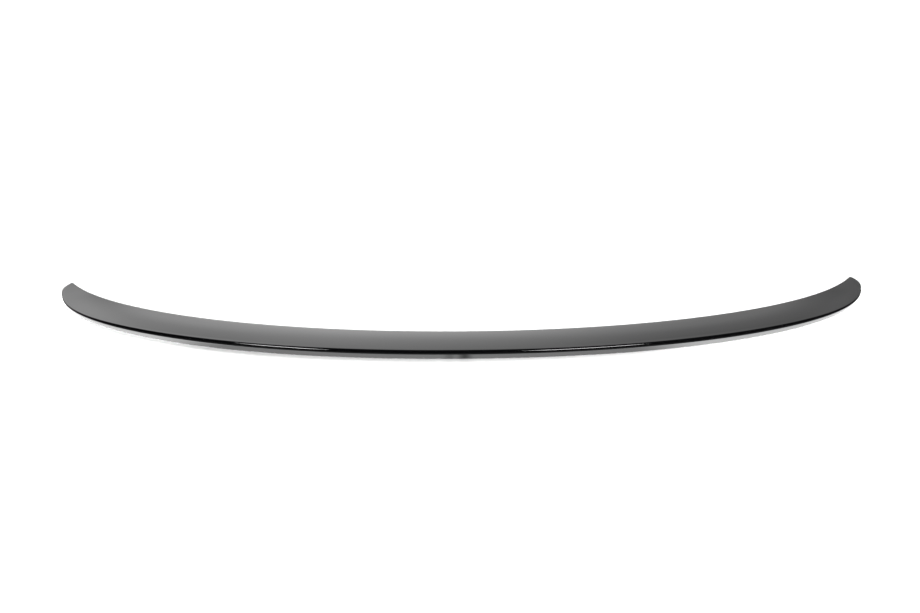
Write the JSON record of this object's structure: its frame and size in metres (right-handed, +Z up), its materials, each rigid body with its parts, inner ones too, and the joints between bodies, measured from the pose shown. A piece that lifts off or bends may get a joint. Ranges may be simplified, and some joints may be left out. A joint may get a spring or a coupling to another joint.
{
  "type": "car boot lid lip spoiler",
  "caption": "Slim gloss black lip spoiler moulded in one piece: a curved strip with a rounded raised trailing edge, to be taped along the rear edge of a car's boot lid.",
  "frame": {"origin": "middle of the base's bounding rectangle, on the plane of the bottom rims", "axes": "+X across the car to its right side as seen from behind, +Y forward along the car from the trailing edge to the front edge, +Z up"},
  "size_m": [1.1998, 0.2029, 0.011],
  "materials": {
    "gloss_black": "polished gloss black moulded plastic"
  },
  "bodies": {
    "root": {"lip": "gloss_black"}
  },
  "joints": []
}
